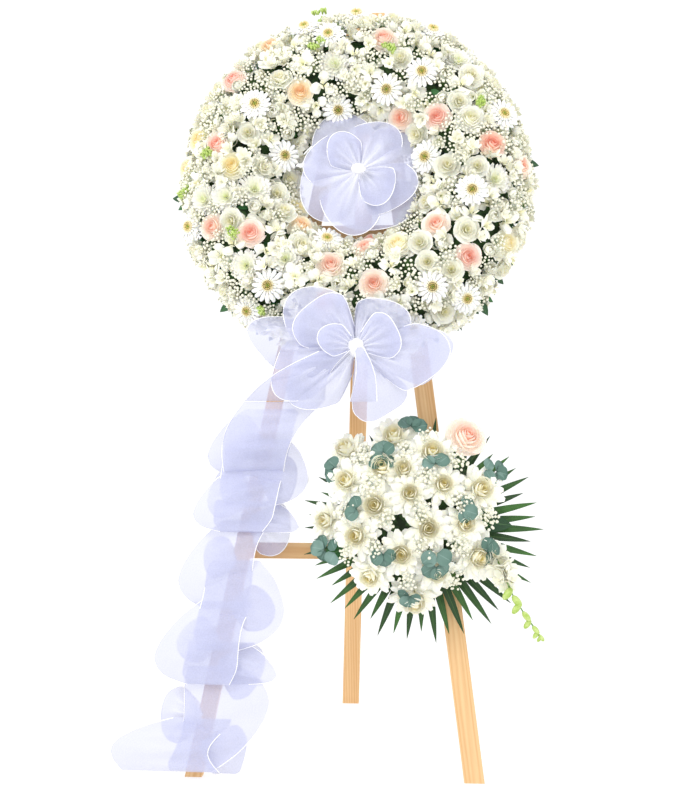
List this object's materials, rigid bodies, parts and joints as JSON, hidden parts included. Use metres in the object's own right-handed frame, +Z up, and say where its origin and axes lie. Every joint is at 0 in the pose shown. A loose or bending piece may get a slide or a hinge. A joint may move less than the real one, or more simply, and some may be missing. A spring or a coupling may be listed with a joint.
{
  "type": "funeral wreath on easel",
  "caption": "Round funeral wreath of cream roses and daisies on a folding pine tripod easel, with a lower bouquet and sheer organza bows.",
  "frame": {"origin": "middle of the footprint box, on the floor", "axes": "+Z up, +Y towards the back, where the rear leg stands, +X to the right seen from the front"},
  "size_m": [0.9374, 0.7666, 1.8327],
  "materials": {
    "pine": "satin",
    "zinc_steel": "satin",
    "tray_plastic": "matte",
    "floral_foam": "matte",
    "leaf_green": "satin",
    "cream_flowers": "matte",
    "rose_blush": "matte",
    "rose_pink": "matte",
    "rose_peach": "matte",
    "rose_cream": "matte",
    "gerbera_white": "matte",
    "chrysanthemum_white": "matte",
    "organza": "satin",
    "gum_leaf": "matte",
    "orchid_bud": "satin",
    "red_band": "satin",
    "gypsophila": "matte",
    "stem_green": "matte"
  },
  "bodies": {
    "stand": {"left_front_leg": "pine", "right_front_leg": "pine", "lower_crossbar": "pine", "upper_crossbar": "pine", "top_block": "pine", "hinge_block_leaf": "zinc_steel", "hinge_pin": "zinc_steel", "crossbar_screw_1": "zinc_steel", "crossbar_screw_2": "zinc_steel", "crossbar_screw_3": "zinc_steel", "crossbar_screw_4": "zinc_steel", "block_screw_left": "zinc_steel", "block_screw_right": "zinc_steel", "hanging_screw_left": "zinc_steel", "hanging_screw_right": "zinc_steel", "tray_screw_1": "zinc_steel", "tray_screw_2": "zinc_steel", "hinge_block_screw_1": "zinc_steel", "hinge_block_screw_2": "zinc_steel", "ring_tray": "tray_plastic", "bouquet_tray": "tray_plastic", "foam_ring": "floral_foam", "bouquet_foam": "floral_foam", "leaf_collar": "leaf_green", "palm_leaves": "leaf_green", "flower_ring": "cream_flowers", "bouquet_flowers": "cream_flowers", "wreath_rose_1": "rose_blush", "wreath_rose_2": "rose_pink", "wreath_rose_3": "rose_pink", "wreath_rose_4": "rose_blush", "wreath_rose_5": "rose_blush", "wreath_rose_6": "rose_blush", "wreath_rose_7": "rose_pink", "wreath_rose_8": "rose_pink", "wreath_rose_9": "rose_peach", "bouquet_rose_1": "rose_blush", "bouquet_rose_2": "rose_cream", "gerbera_1": "gerbera_white", "gerbera_2": "gerbera_white", "gerbera_3": "gerbera_white", "gerbera_4": "gerbera_white", "gerbera_5": "gerbera_white", "gerbera_6": "gerbera_white", "spider_mum": "chrysanthemum_white", "centre_bow": "organza", "centre_bow_knot": "organza", "main_bow_left": "organza", "main_bow_right": "organza", "main_bow_knot": "organza", "tail_upper": "organza", "tail_middle": "organza", "tail_lower": "organza", "eucalyptus_sprig": "gum_leaf", "bud_spray": "orchid_bud", "leg_tie": "red_band"},
    "rear_leg": {"rear_leg": "pine", "hinge_leg_leaf": "zinc_steel", "hinge_leg_screw_1": "zinc_steel", "hinge_leg_screw_2": "zinc_steel"}
  },
  "joints": [
    {"name": "rear_leg_hinge", "type": "hinge", "parent": "stand", "child": "rear_leg", "pos_m": [0.0615, 0.08116, 1.74486], "axis": [1, 0, 0], "range_deg": [-19, 0]}
  ]
}
